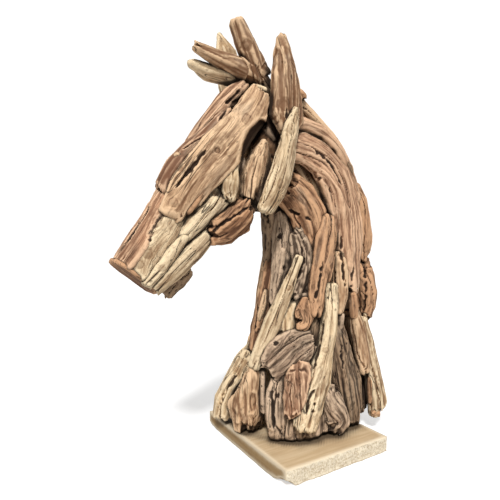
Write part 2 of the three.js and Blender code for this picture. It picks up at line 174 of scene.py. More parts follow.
# Each finish: its pale, usual and deep wood, how strongly it is cracked and pitted, and the depth of the
# furrows along its grain.
FINISH_PARTS = ("pale", "wood", "deep", "crack", "pits", "furrow")
FINISHES = {slot: dict(zip(FINISH_PARTS, parts)) for slot, parts in {
    "pale_driftwood": ("ecd5b0", "cdad84", "86674a", 0.9, 0.6, 0.0016),
    "honey_driftwood": ("e6c39c", "bd936c", "704e35", 0.75, 0.4, 0.0014),
    "rose_driftwood": ("e4bd99", "ba8d6c", "734f39", 0.7, 0.35, 0.0014),
    "rust_driftwood": ("cfa27b", "976c4c", "513524", 0.75, 0.4, 0.0016),
    "grey_driftwood": ("d2b699", "9c8069", "503f31", 0.8, 0.9, 0.002),
    "dark_driftwood": ("a98d70", "725842", "35281d", 1.0, 0.9, 0.0022),
}.items()}

# How much darker (below 0) or paler (above 0) than its finish a piece is. Mostly the piece's own tone; for
# left_temple_block, right_eye_block and eye_inner_block, seen only deep in the hollows and gaps, the
# darkening is painted shade.
SHADES = {
    "left_ear": -0.7, "forked_branch": -0.75, "right_ear": -0.35, "brow_stave": -0.45, "nose_stave": -1.0,
    "left_eye_block": 0.55, "left_jaw_strap": 0.05, "left_temple_block": -0.8, "throat_middle_stave": -0.7,
    "throat_front_stave": 0.65, "left_throat_block": -0.95, "base_lobe": -0.6, "right_eye_block": -0.8,
    "left_long_leg": 0.05, "breast_stave": -0.6, "back_lower_stave": 0.45, "back_upper_stave": 0.45,
    "base_front_plank": 0.7, "chin_lump": 0.3, "left_splayed_foot": 0.1, "muzzle_board": 0.1,
    "front_flare_root": 0.4, "left_jaw_stave": -0.1, "left_cheek_log": 0.75, "left_muzzle_plank": 0.55,
    "left_neck_arc": 0.45, "left_rear_leg": -0.7, "left_rear_stave": -0.5, "eye_inner_block": -0.8,
    "left_cheek_plank": 0.5, "diagonal_pole": -0.3, "left_side_strip": -0.5, "left_mid_column": -0.3,
}

# Knots, plugs and worm holes: the pixel of the photograph where each shows, its radius and how deep it is.
KNOTS = (
    # The muzzle and the cheek.
    ((158, 224), 0.009, 0), ((148, 254), 0.008, 0), ((140, 265), 0.007, 0), ((150, 240), 0.004, 0.004),
    ((160, 268), 0.006, 0), ((173, 204), 0.008, 0), ((247, 120), 0.01, 0), ((218, 150), 0.006, 0.002),
    # The jaw strap, the ear, the fork and the brow.
    ((291, 130), 0.009, 0), ((280, 184), 0.009, 0), ((285, 106), 0.014, 0.002), ((246, 45), 0.009, 0.001),
    ((222, 113), 0.007, 0.002),
    # The throat.
    ((279, 237), 0.006, 0.004), ((282, 257), 0.007, 0.005), ((284, 268), 0.006, 0.005),
    ((302, 234), 0.009, 0.002),
    # The pole, the grey plate and the leg.
    ((288, 288), 0.005, 0), ((276, 344), 0.006, 0.004), ((292, 339), 0.006, 0), ((325, 350), 0.005, 0),
    # The base.
    ((318, 393), 0.008, 0.001), ((308, 402), 0.004, 0.005), ((315, 404), 0.0035, 0.005),
    ((313, 411), 0.004, 0.004), ((287, 377), 0.005, 0.002), ((277, 396), 0.006, 0.003),
    ((286, 418), 0.007, 0.003),
)

# Splits and gaps that are deeper than the rest: the pixels of the photograph that each runs through.
GROOVES = (
    # The brow, the nose and the muzzle.
    ((240, 90), (232, 98), (225, 104)), ((206, 136), (197, 141), (184, 149)),
    ((207, 148), (197, 161), (186, 174), (176, 188)), ((203, 154), (193, 167), (184, 178)),
    ((246, 92), (234, 102), (225, 112), (219, 121)), ((150, 205), (138, 225), (126, 243)),
    # The jaw and the ear.
    ((210, 233), (224, 222), (238, 214), (250, 206)), ((286, 108), (287, 120)),
    # The neck.
    ((312, 148), (330, 163), (343, 186)), ((341, 236), (342, 262), (345, 288)),
    ((333, 222), (334, 250), (335, 280), (337, 305)), ((353, 262), (351, 288), (349, 312)),
    # The throat and the breast.
    ((288, 209), (297, 214), (311, 220)), ((322, 262), (319, 284), (314, 302)),
    ((301, 246), (303, 262), (297, 280)), ((258, 302), (257, 316), (255, 330)),
    # The leg, the base and the back.
    ((324, 318), (320, 345), (313, 371)), ((316, 388), (309, 398), (306, 414)),
    ((272, 388), (273, 408), (274, 428)), ((239, 370), (228, 388), (218, 408)),
    ((340, 345), (341, 358), (343, 370)), ((358, 367), (358, 374), (360, 382)),
    ((364, 262), (366, 290), (364, 312)),
)

# The hollow round the eye: the pixels of the photograph through its middle with its half width there, the
# pieces that give way to it, how far they do, and how much of its half width its floor takes.
# Besides being sunk, the hollow is painted dark with shade.
HOLLOW = ((262, 125, 6), (254, 133, 7), (248, 146, 6.5), (244, 160, 5), (241, 176, 2.5), (240, 192, 2))
HOLLOWED = {"left_cheek_plank", "left_temple_block"}
HOLLOW_DEPTH = 0.038
HOLLOW_FLOOR = 0.55

# Small pieces that show between the large ones: the pixels of the photograph at their two ends, their width
# and thickness, how far they stand out of what carries them, and their finish. A last number is the y of the
# upright plane that a piece lies in, where it bridges a gap between its neighbours.
CHIPS = {
    "nape_chip": ((296, 90), (307, 98), 0.022, 0.022, 0.004, "rust_driftwood", -0.060),
    "crest_chip": ((347, 162), (353, 174), 0.014, 0.012, 0.004, "dark_driftwood"),
    "nose_knob": ((175, 158), (184, 152), 0.022, 0.020, 0.006, "honey_driftwood"),
    "hollow_strip": ((264, 127), (275, 143), 0.014, 0.012, 0.008, "grey_driftwood"),
    "cheek_splinter": ((187, 213), (203, 194), 0.008, 0.009, 0.004, "rust_driftwood"),
    "back_chip": ((352, 293), (354, 318), 0.020, 0.018, 0.006, "rust_driftwood"),
    "side_chip": ((342, 314), (340, 330), 0.018, 0.016, 0.006, "grey_driftwood"),
    "grey_inner_block": ((307, 288), (305, 303), 0.030, 0.024, 0.004, "grey_driftwood", -0.078),
    "throat_knotted_stave": ((283, 250), (276, 296), 0.024, 0.020, 0.006, "grey_driftwood"),
    "breast_knot": ((261, 312), (257, 331), 0.026, 0.022, 0.004, "rust_driftwood"),
    "breast_inner_strip": ((267, 290), (259, 322), 0.014, 0.014, 0.006, "honey_driftwood"),
    "flare_strip": ((263, 371), (264, 413), 0.012, 0.030, 0.004, "grey_driftwood", -0.040),
    "leg_side_strip": ((338, 342), (340, 370), 0.012, 0.014, 0.004, "honey_driftwood"),
    "rear_strip": ((369, 376), (370, 404), 0.016, 0.016, 0.004, "rust_driftwood"),
    "rear_foot_block": ((372, 412), (379, 414), 0.024, 0.022, 0.004, "rust_driftwood"),
    # The next block's dark wood and further darkening are painted shade, filling a dark gap below the eye.
    "eye_inner_block": ((246, 199), (265, 206), 0.034, 0.030, 0.004, "dark_driftwood", -0.062),
    "forelock_bar": ((250, 86), (264, 90), 0.010, 0.012, 0.004, "pale_driftwood"),
}

# The lines that the grain follows in the fork's two limbs.
FORK_LINES = (
    ((-0.058, -0.015, 0.831), (-0.112, -0.015, 0.866), (-0.168, -0.012, 0.879), (-0.274, -0.016, 0.899)),
    ((-0.118, -0.018, 0.841), (-0.150, -0.020, 0.911), (-0.172, -0.022, 0.961)),
)

# The grain of these runs upright, although they are about as wide as they are high.
UPRIGHT = ("base_front_plank", "base_lobe", "front_flare_root")

# These are sawn off square, so their ends aren't bitten.
SAWN = {"muzzle_board", "left_muzzle_plank", "muzzle_top_stave", "left_lip_strip", "left_chin_plank",
        "right_brow_stave", "base_front_plank"}
# These keep their square edges, and are worn round in fewer passes.
SQUARE = {"muzzle_board", "base_front_plank"}
SQUARE_WEARING = 2

# How far each next piece is shifted along the wood's pattern, so that no two show the same.
PATTERN_SHIFT = 0.37

# The first seed of the pieces and of the small pieces, the steps to the next, and the one for the small
# pieces' shapes. With up to 60 nodes, no two pieces share one.
FIRST_SEED = 5
SEED_STEP = 17
FIRST_CHIP_SEED = 1009
CHIP_SEED_STEP = 13
CHIP_SHAPES_SEED = 5

# Large numbers that scatter the noise, one for each direction and one for the seed, and the bits that are
# kept of the sum and of the value.
SCATTER = (374761393, 668265263, 1440662683)
SCATTER_SEED = 1274126177
LOW_BITS = 0xFFFFFFFF
VALUE_BITS = 0xFFFF

# Patterns over the surface: how often each changes in a metre, along the grain and both ways across it where
# these differ, its own seed, which the piece's is added to, and its strength.
PATTERNS = {
    "lumps": ((12, 24, 24), 0, 1.2),
    "small_lumps": ((30, 50, 50), 7, 0.55),
    "furrows": ((6, 70, 70), 1, 2),
    "fine_furrows": ((14, 170, 170), 2, 1),
    "layers": ((5, 30, 30), 9, 2.4),
    "dryness": ((7, 30, 30), 4, 1),
    "torn_places": ((13, 42, 42), 8, 1),
    "scales": ((90, 150, 150), 12, 1),
    "bites": ((0, 50, 50), 5, 1),
    "stepped_bites": ((0, 130, 130), 6, 1),
    "split_bends": ((6, 18, 18), 3, 0.5),
    "split_wavers": ((40, 60, 60), 23, 0.12),
    "split_widths": ((30, 30, 30), 11, 0.0012),
    "groove_strays": (90, 32, 0.003),
    "groove_widths": (130, 31, 0.6),
    "knot_outline": (1, 77, 0.3),
    "fine_knot_outline": (2.5, 78, 0.15),
    "hollow_outline": (60, 41, 0.15),
    "slab_roughness": (90, 3, 1),
    "slab_grit": (210, 4, 0.7),
    "slab_chips": ((34, 34, 60), 6, 1),
    "worn_corners": (70, 9, 0.15),
}


# Repeatable smooth noise between -1 and 1 at many points, blended from the eight corners of each one's cell.
def noise(points, seed):
    cell = np.floor(points)
    part = points - cell
    blend = part * part * (3 - 2 * part)
    cell = cell.astype(np.int64)
    total = np.zeros(len(points))
    for corner in range(8):
        step = np.array([corner & 1, corner >> 1 & 1, corner >> 2 & 1])
        at = cell + step
        mixed = at @ np.array(SCATTER) + seed * SCATTER_SEED
        mixed = mixed & LOW_BITS
        mixed = ((mixed ^ (mixed >> 13)) * SCATTER_SEED) & LOW_BITS
        value = ((mixed ^ (mixed >> 16)) & VALUE_BITS) / (VALUE_BITS / 2) - 1
        weight = np.prod(np.where(step == 1, blend, 1 - blend), axis=1)
        total += value * weight
    return total


# One of the patterns at many points, for a piece of this seed, and so many times as large.
def pattern(name, points, seed=0, size=1):
    often, own_seed, strength = PATTERNS[name]
    return strength * noise(points * often / size, seed + own_seed)


# Rows made of length one.
def unit(rows):
    return rows / np.linalg.norm(rows, axis=1)[:, None]


def smoothstep(low, high, x):
    t = np.clip((x - low) / (high - low), 0, 1)
    return t * t * (3 - 2 * t)


# The curve through a piece's middle is a cubic, of four terms, fitted so many times over and given at so many
# stops. It runs this far if the piece's ends are at 1.
LINE_TERMS = 4
LINE_FITS = 3
LINE_STOPS = 67
LINE_END = 1.1


# A smooth curve through the middle of a piece's surface points.
def middle_line(points):
    axes = np.linalg.svd(points - points.mean(axis=0), full_matrices=False)[2]
    t = (points - points.mean(axis=0)) @ axes[0]
    t = t / np.abs(t).max()
    stops = np.linspace(-LINE_END, LINE_END, LINE_STOPS)
    for _ in range(LINE_FITS):
        bends = np.linalg.lstsq(np.vander(t, LINE_TERMS), points, rcond=None)[0]
        line = np.vander(stops, LINE_TERMS) @ bends
        near = np.argmin(((points[:, None, :] - line[None, :, :]) ** 2).sum(axis=2), axis=1)
        t = stops[near]
    return line


# Each point's place along the nearest of some lines and its two offsets across it, with the line's heading.
def grain_of(points, lines):
    axes = np.linalg.svd(points - points.mean(axis=0), full_matrices=False)[2]
    grain = np.zeros_like(points)
    tangent = np.zeros_like(points)
    nearest = np.full(len(points), np.inf)
    for line in lines:
        heading = unit(np.gradient(line, axis=0))
        travelled = np.concatenate([[0], np.cumsum(np.linalg.norm(np.diff(line, axis=0), axis=1))])
        distance = ((points[:, None, :] - line[None, :, :]) ** 2).sum(axis=2)
        near = np.argmin(distance, axis=1)
        closer = distance.min(axis=1) < nearest
        nearest = np.minimum(nearest, distance.min(axis=1))
        offset = points - line[near]
        toward = heading[near]
        side = unit(axes[2] - (toward @ axes[2])[:, None] * toward)
        rise = np.cross(toward, side)
        along = travelled[near] + (offset * toward).sum(axis=1)
        across = (offset * side).sum(axis=1)
        up = (offset * rise).sum(axis=1)
        grain[closer] = np.stack([along, across, up], axis=1)[closer]
        tangent[closer] = toward[closer]
    grain[:, 0] -= grain[:, 0].min()
    return grain, tangent


# A line given by a few points, with many evenly between them.
def densely(points, count=60):
    points = np.array(points)
    stops = np.linspace(0, len(points) - 1, count)
    return np.stack([np.interp(stops, np.arange(len(points)), points[:, i]) for i in range(3)], axis=1)


# The places and normals of a mesh's vertices as arrays.
def read_vertices(mesh):
    read = []
    for field in ("co", "normal"):
        values = np.zeros(len(mesh.vertices) * 3)
        mesh.vertices.foreach_get(field, values)
        read.append(values.reshape(-1, 3))
    return read


def write_vertices(mesh, places):
    mesh.vertices.foreach_set("co", places.astype(np.float32).ravel())
    mesh.update()


def store(mesh, name, values):
    kind = "FLOAT_VECTOR" if values.ndim == 2 else "FLOAT"
    field = "vector" if values.ndim == 2 else "value"
    attribute = mesh.attributes.new(name, kind, "POINT")
    attribute.data.foreach_set(field, values.astype(np.float32).ravel())


# A value at each vertex evened out with its neighbours so many times.
def evened(mesh, values, times):
    pairs = np.zeros(len(mesh.edges) * 2, np.int32)
    mesh.edges.foreach_get("vertices", pairs)
    a, b = pairs.reshape(-1, 2).T
    ends = np.concatenate([a, b])
    count = np.maximum(np.bincount(ends, minlength=len(values)), 1)
    for _ in range(times):
        values = np.bincount(ends, np.concatenate([values[b], values[a]]), minlength=len(values)) / count
    return values


# Positive on edges and crests, negative in hollows: how far a point stands above its neighbours. The crests
# are worn pale; in the driftwood the hollows are darkened with painted shade.
def crests_and_hollows_of(mesh):
    places, normals = read_vertices(mesh)
    near = np.stack([evened(mesh, places[:, i], NEAR_TIMES) for i in range(3)], axis=1)
    wide = np.stack([evened(mesh, near[:, i], WIDE_TIMES) for i in range(3)], axis=1)
    fine = ((places - near) * normals).sum(axis=1) / NEAR_RELIEF
    broad = ((places - wide) * normals).sum(axis=1) / WIDE_RELIEF
    return np.clip(NEAR_SHARE * fine + WIDE_SHARE * broad, -1, 1)


def triangles_of(meshes):
    corners = []
    faces = []
    start = 0
    for mesh in meshes:
        places, _ = read_vertices(mesh)
        corners.append(places)
        faces.extend([[start + v for v in polygon.vertices] for polygon in mesh.polygons])
        start += len(places)
    return BVHTree.FromPolygons(np.concatenate(corners).tolist(), faces)


SOLIDS = triangles_of([node.data for node in frame["nodes"].values()])


# The way an upright plane between pieces is taken to face: outward, and a little forward.
PLANE_FACING = (-0.4, -1.0, 0.0)


# The point of the solids that shows at a pixel of the photograph, and the way its surface faces; or where the
# line of sight meets an upright plane, if one is given.
def seen_at(pixel, plane=None):
    across = (pixel[0] - IMAGE / 2) / FOCAL_PIXELS
    rise = (HORIZON_ROW - pixel[1]) / FOCAL_PIXELS
    heading = Vector((across * CAMERA_COSINE + CAMERA_SINE, CAMERA_COSINE - across * CAMERA_SINE, rise))
    if plane is not None:
        point = CAMERA_PLACE + heading * ((plane - CAMERA_PLACE.y) / heading.y)
        return np.array(point), np.array(PLANE_FACING)
    point, facing, _, _ = SOLIDS.ray_cast(CAMERA_PLACE, heading)
    return np.array(point), np.array(facing)


KNOT_PLACES = [(seen_at(pixel)[0], radius, depth) for pixel, radius, depth in KNOTS]
GROOVE_LINES = [densely([seen_at(pixel)[0] for pixel in line], GROOVE_POINTS) for line in GROOVES]


# The pixel of the photograph where each point shows.
def pixels_of(places):
    seen = places - np.array(CAMERA_PLACE)
    depth = seen @ (CAMERA_SINE, CAMERA_COSINE, 0)
    across = seen @ (CAMERA_COSINE, -CAMERA_SINE, 0)
    return np.stack([IMAGE / 2 + FOCAL_PIXELS * across / depth,
                     HORIZON_ROW - FOCAL_PIXELS * seen[:, 2] / depth], axis=1)


# How far into the hollow round the eye each point lies, from 0 at its rim to 1 on its floor.
def hollowed(places):
    line = densely(HOLLOW)
    away = np.linalg.norm(pixels_of(places)[:, None, :] - line[None, :, :2], axis=2)
    near = away.argmin(axis=1)
    uneven = 1 + pattern("hollow_outline", places)
    return 1 - smoothstep(HOLLOW_FLOOR, 1.0, away.min(axis=1) / (line[near, 2] * uneven))


# A new object in the scene.
def put(name, data):
    made = bpy.data.objects.new(name, data)
    bpy.context.scene.collection.objects.link(made)
    return made


# A bmesh made a mesh of small even faces, with its facets worn round.
def worn(bm, name, face, passes):
    rough = bpy.data.meshes.new(name + "_rough")
    bm.to_mesh(rough)
    bm.free()
    shaper = put(name + "_shaper", rough)
    remesh = shaper.modifiers.new("even", "REMESH")
    remesh.mode = "VOXEL"
    remesh.voxel_size = face
    smooth = shaper.modifiers.new("worn", "SMOOTH")
    smooth.factor = 0.5
    smooth.iterations = passes
    made = bpy.data.meshes.new_from_object(shaper.evaluated_get(bpy.context.evaluated_depsgraph_get()))
    bpy.data.objects.remove(shaper)
    bpy.data.meshes.remove(rough)
    made.name = name
    return made


# The knots that lie on a piece: the knots of the photograph that touch it, and a few more by chance.
def knots_on(places, length, seed):
    found = []
    for centre, radius, depth in KNOT_PLACES:
        gap = np.linalg.norm(places - centre, axis=1)
        if gap.min() < KNOT_REACH:
            found.append((places[gap.argmin()], radius, depth))
    rng = np.random.default_rng(seed)
    for _ in range(int(length / STRAY_SPACING)):
        spot = places[rng.integers(len(places))]
        found.append((spot, rng.uniform(*STRAY_RADIUS), rng.uniform(0, STRAY_DEPTH)))
    return found


# How deep in a groove of the photograph each point lies: 1 in the middle of one, 0 away from them.
def grooved(places):
    depth = np.zeros(len(places))
    for line in GROOVE_LINES:
        gap = np.abs(places - places.clip(line.min(axis=0), line.max(axis=0))).max(axis=1)
        near = np.flatnonzero(gap < GROOVE_WIDTH)
        if len(near):
            turned = places[near] + pattern("groove_strays", places[near])[:, None]
            away = np.linalg.norm(turned[:, None, :] - line[None, :, :], axis=2)
            wander = GROOVE_SHARE + pattern("groove_widths", places[near])
            at = away.argmin(axis=1)
            tip = np.minimum(at, len(line) - 1 - at) / GROOVE_TIP
            reach = GROOVE_WIDTH * wander * np.minimum(GROOVE_NARROW + tip, 1)
            depth[near] = np.maximum(depth[near], 1 - np.minimum(away.min(axis=1) / reach, 1))
    return depth


# How the knots turn the grain aside, how they raise or sink the surface, and where they and their rims are.
def around_knots(grain, places, knots):
    height = np.zeros(len(places))
    mask = np.zeros(len(places))
    rim = np.zeros(len(places))
    grain = grain.copy()
    for centre, radius, depth in knots:
        nearest = np.linalg.norm(places - centre, axis=1)
        home = grain[nearest.argmin()]
        uneven = 1 + pattern("knot_outline", places, size=radius)
        uneven = uneven + pattern("fine_knot_outline", places, size=radius)
        r = nearest / (radius * uneven)
        aside = 1 - TURN * np.exp(-(r / TURN_REACH) ** 2)
        grain[:, 1:] = home[1:] + (grain[:, 1:] - home[1:]) * aside[:, None]
        inside = 1 - smoothstep(*KNOT_EDGE, r)
        ring = np.exp(-((r - KNOT_EDGE[1]) / RING_WIDTH) ** 2)
        mask = np.maximum(mask, inside)
        # A hole is marked dark all over, for painted shade; a plug only on its ring, its own dark edge.
        rim = np.maximum(rim, inside if depth > HOLE_DEPTH else RING_DARK * ring)
        height += KNOT_SWELL * np.exp(-(r / SWELL_REACH) ** 2) - KNOT_SWELL * ring - depth * inside
    return grain, height, mask, rim


# How far each point lies from the nearest split: the splits run along the grain, side by side across each
# face.
def from_split(grain, seed):
    spread = np.abs(grain[:, 1:]).max(axis=0)
    broad = np.abs(grain[:, 1]) / spread[0] > np.abs(grain[:, 2]) / spread[1]
    place = np.where(broad, grain[:, 2], grain[:, 1]) / SPLIT_SPACING
    place = place + pattern("split_bends", grain, seed) + pattern("split_wavers", grain, seed)
    return np.abs(place - np.round(place)) * SPLIT_SPACING


# How far each point of the wood stands in or out, how far its end is bitten back, and how deep in a crack
# it lies.
def weathering(grain, ends, finish, seed, stout):
    def of(name):
        return pattern(name, grain, seed)

    lumps = of("lumps") + of("small_lumps")
    furrows = np.abs(of("furrows")) + np.abs(of("fine_furrows"))
    level = of("layers")
    layers = np.floor(level) + smoothstep(*LAYER_EDGE, level - np.floor(level))
    dried = smoothstep(*DRY, of("dryness") + DRY_ENDS * ends)
    width = SPLIT_WIDTH + of("split_widths")
    crack = (1 - smoothstep(*SPLIT_SIDE, from_split(grain, seed) / width)) * dried
    torn = smoothstep(*TORN_EDGE, of("torn_places"))
    height = LUMP * lumps + FURROWING * finish["furrow"] * furrows + LAYER * layers - TORN * torn
    scaly = of("scales") * finish["pits"]
    height = stout * (height + SCALE * scaly - SPLIT_DEPTH * crack * finish["crack"]) + SWELL
    bitten = of("bites") + STEP_BITE * (of("stepped_bites") > STEP_FROM)
    back = stout * ends * BITE * np.maximum(bitten, 0)
    return height, back, crack * finish["crack"]


# One piece of driftwood from its plain shape.
def driftwood(name, bm, slot, seed, face, lines=None, passes=WEARING):
    finish = FINISHES[slot]
    node = name.removesuffix("_wood")
    mesh = worn(bm, name, face, passes)
    places, normals = read_vertices(mesh)
    grain, tangent = grain_of(places, lines or [middle_line(places)])
    length = grain[:, 0].max()
    end_reach = min(END_REACH, length * END_SHARE)
    ends = 1 - smoothstep(0, end_reach, np.minimum(grain[:, 0], length - grain[:, 0]))
    stout = min(max(np.ptp(grain[:, 1:], axis=0).min() / STOUT, LEAST_RELIEF), 1)
    turned, swelling, knot, rim = around_knots(grain, places, knots_on(places, length, seed))
    height, back, crack = weathering(grain, ends, finish, seed, stout)
    groove = grooved(places)
    height = height - GROOVE_DEPTH * groove
    if node in SAWN:
        back = 0 * back
    toward = np.sign(length / 2 - grain[:, 0])[:, None] * tangent
    places = places + normals * (height + swelling)[:, None] + toward * back[:, None]
    sunk = hollowed(places) if node in HOLLOWED else np.zeros(len(places))
    away_from_camera = unit(places - np.array(CAMERA_PLACE))
    places = places + away_from_camera * (HOLLOW_DEPTH * sunk)[:, None]
    write_vertices(mesh, settle(places))
    store(mesh, "grain", turned + seed * PATTERN_SHIFT)
    # Cracks, the insides of holes, grooves and the eye hollow are marked for painted shade; a plug's ring is
    # marked as its own dark edge.
    dark = np.maximum(np.maximum(crack * (1 - knot), rim), GROOVE_SHADE * groove)
    store(mesh, "crack", np.maximum(dark, sunk))
    store(mesh, "knot", knot)
    store(mesh, "shade", np.full(len(places), SHADES.get(node, 0.0)))
    store(mesh, "crests_and_hollows", crests_and_hollows_of(mesh))
    mesh.polygons.foreach_set("use_smooth", [True] * len(mesh.polygons))
    mesh.materials.clear()
    mesh.materials.append(MATERIALS[slot])
    piece = put(name, mesh)
    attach(piece, "root")
    return piece


# A foot reaches down to the slab and not into it, and nothing passes the whole work's box.
def settle(places):
    lowest = places[:, 2].min()
    if lowest < SLAB_TOP + FOOT_GAP:
        near_floor = 1 - smoothstep(lowest, lowest + FOOT_REACH, places[:, 2])
        places[:, 2] -= (lowest - SLAB_TOP) * near_floor
    return places.clip(CAD_LOW, CAD_HIGH)


# A node's solid as a closed mesh, which its piece of driftwood starts from.
def solid_of(node):
    bm = bmesh.new()
    bm.from_mesh(frame["nodes"][node].data)
    bmesh.ops.remove_doubles(bm, verts=bm.verts, dist=WELD)
    return bm


# A small piece starts as a blunt cone of so many sides and cuts across, with these radii. It is a little
# longer than the way between its pixels, thins toward its ends, and is uneven in width and in length.
CHIP_SIDES = 7
CHIP_CUTS = 4
CHIP_RADII = (0.5, 0.4)
CHIP_LENGTH = 1.05
CHIP_MIDDLE = 1.1
CHIP_THINS = 1.3
CHIP_UNEVEN = 0.2
CHIP_UNEVEN_LENGTH = 0.1


# A rough little stave between two pixels of the photograph, lying on what shows there.
def chip_shape(rng, start, end, width, thick, stand, plane=None):
    (head, head_out), (foot, foot_out) = seen_at(start, plane), seen_at(end, plane)
    out = head_out + foot_out
    run = foot - head
    out = out - run * (out @ run) / (run @ run)
    out = out / np.linalg.norm(out)
    length = np.linalg.norm(run)
    bm = bmesh.new()
    bmesh.ops.create_cone(bm, cap_ends=True, segments=CHIP_SIDES, radius1=CHIP_RADII[0],
                          radius2=CHIP_RADII[1], depth=1)
    long_edges = [e for e in bm.edges if abs(e.verts[0].co.z - e.verts[1].co.z) > 0.5]
    bmesh.ops.subdivide_edges(bm, edges=long_edges, cuts=CHIP_CUTS)
    for vert in bm.verts:
        swell = CHIP_MIDDLE - CHIP_THINS * vert.co.z * vert.co.z
        vert.co.x *= width * swell * (1 + CHIP_UNEVEN * rng.uniform(-1, 1))
        vert.co.y *= thick * swell
        vert.co.z = vert.co.z * length * CHIP_LENGTH + CHIP_UNEVEN_LENGTH * width * rng.uniform(-1, 1)
    forward = Vector(run).normalized()
    outward = Vector(out)
    sideways = forward.cross(outward)
    turn = Matrix((sideways, outward, forward)).transposed().to_4x4()
    middle = Vector((head + foot) / 2 + out * (stand - thick / 2))
    bmesh.ops.transform(bm, matrix=Matrix.Translation(middle) @ turn, verts=bm.verts)
    bmesh.ops.recalc_face_normals(bm, faces=bm.faces)
    return bm


# How closed in each point of the pieces is, which the shader paints as crevice shade: rays leave it about its
# normal, and what they meet nearby counts.
def measure_crevice_shade(pieces):
    rng = np.random.default_rng(CREVICE_SEED)
    tree = triangles_of([piece.data for piece in pieces])
    for piece in pieces:
        places, normals = read_vertices(piece.data)
        crevice_shade = np.zeros(len(places))
        starts = places + normals * CREVICE_START
        for _ in range(CREVICE_RAYS):
            headings = unit(normals + CREVICE_SPREAD * unit(rng.normal(size=places.shape)))
            for i, (start_at, heading) in enumerate(zip(starts.tolist(), headings.tolist())):
                distance = tree.ray_cast(start_at, heading, CREVICE_REACH)[3]
                if distance is not None:
                    crevice_shade[i] += 1 - distance / CREVICE_REACH
        store(piece.data, "crevice_shade", evened(piece.data, crevice_shade / CREVICE_RAYS, CREVICE_TIMES))


# Shader building blocks.
def link(tree, source, target):
    tree.links.new(source, target)


def maths(tree, operation, a, b=0.0):
    made = tree.nodes.new("ShaderNodeMath")
    made.operation = operation
    for socket, value in zip(made.inputs, (a, b)):
        if isinstance(value, (int, float)):
            socket.default_value = value
        else:
            link(tree, value, socket)
    return made.outputs[0]


def remap(tree, value, low, high, to_low=0.0, to_high=1.0):
    made = tree.nodes.new("ShaderNodeMapRange")
    made.interpolation_type = "SMOOTHSTEP"
    link(tree, value, made.inputs["Value"])
    for socket, limit in zip(("From Min", "From Max", "To Min", "To Max"), (low, high, to_low, to_high)):
        made.inputs[socket].default_value = limit
    return made.outputs["Result"]


# The colour sockets of a Mix node are its seventh and eighth inputs and its third output.
def mix(tree, factor, a, b):
    made = tree.nodes.new("ShaderNodeMix")
    made.data_type = "RGBA"
    for socket, value in zip((made.inputs[0], made.inputs[6], made.inputs[7]), (factor, a, b)):
        if isinstance(value, (int, float)):
            socket.default_value = value
        elif isinstance(value, tuple):
            socket.default_value = (*value, 1)
        else:
            link(tree, value, socket)
    return made.outputs[2]


def stretched(tree, vector, scale):
    made = tree.nodes.new("ShaderNodeMapping")
    made.inputs["Scale"].default_value = scale
    link(tree, vector, made.inputs["Vector"])
    return made.outputs["Vector"]


def grainy(tree, vector, scale, detail, rough=0.55):
    made = tree.nodes.new("ShaderNodeTexNoise")
    made.inputs["Scale"].default_value = 1.0
    made.inputs["Detail"].default_value = detail
    made.inputs["Roughness"].default_value = rough
    link(tree, stretched(tree, vector, scale), made.inputs["Vector"])
    return made.outputs["Fac"]


def attribute_of(tree, name, output="Fac"):
    made = tree.nodes.new("ShaderNodeAttribute")
    made.attribute_name = name
    return made.outputs[output]


def times(tree, a, b):
    return maths(tree, "MULTIPLY", a, b)


# Colours laid over the first. Each layer says what shows where it lies, between which values of that it comes
# in and from what strength to what, and its colour.
def layered(tree, color, sources, layers):
    for where, span, over in layers:
        color = mix(tree, remap(tree, sources[where], *span), color, sources[over])
    return color


# An empty shader group with named sockets of each kind: its tree, its inputs and its outputs.
def new_group(name, takes, gives):
    tree = bpy.data.node_groups.new(name, "ShaderNodeTree")
    for in_out, sockets in (("INPUT", takes), ("OUTPUT", gives)):
        for kind, labels in sockets.items():
            for label in labels:
                tree.interface.new_socket(label, in_out=in_out, socket_type="NodeSocket" + kind)
    return tree, tree.nodes.new("NodeGroupInput").outputs, tree.nodes.new("NodeGroupOutput").inputs


# Patterns drawn on the wood: how often each changes in a metre, its detail, and its roughness if unusual.
DRAWN = {
    "broad": ((6, 15, 15), 2.0),
    "streaks": ((8, 150, 150), 4.0, 0.6),
    "fibres": ((28, 600, 600), 3.0, 0.6),
    "bands": ((4, 50, 50), 2.0),
    "silvering": ((9, 30, 30), 3.0),
    "blotches": ((20, 44, 44), 4.0, 0.7),
    "hairlines": ((2, 70, 70), 1.5),
    "cracked": ((9, 22, 22), 1.0),
    "rotten": ((12, 20, 20), 1.0),
    "grit": ((160, 330, 330), 3.0, 0.7),
}
# The painted shade: the dark colour laid into cracks, holes, grooves, the eye hollow, crevices and hollows,
# and on the knot rims, which are their own dark edges.
PAINTED_SHADE = paint("21150d")
SILVER = paint("c0ad94")
# The layers of colour over the plain wood. Its crests are worn pale, and its hollows darkened with painted
# shade.
WOOD_LAYERS = (
    ("broad", (0.38, 0.7), "Pale"),
    ("Shade", (0.0, 1.0), "Pale"),
    ("Shade", (-1.0, 0.0, 1.0, 0.0), "Deep"),
    ("silvering", (0.52, 0.72, 0.0, 0.45), "Silver"),
    ("blotches", (0.46, 0.68, 0.0, 0.7), "Deep"),
    # Painted shade in the hollows.
    ("Crests_and_hollows", (-0.5, 0.2, 0.7, 0.0), "Deep"),
    ("bands", (0.5, 0.75, 0.0, 0.45), "Deep"),
    ("streaks", (0.48, 0.64, 0.0, 0.8), "Deep"),
    ("fibres", (0.45, 0.66, 0.0, 0.5), "Deep"),
    ("Crests_and_hollows", (0.1, 0.9, 0.0, 0.8), "Pale"),
)
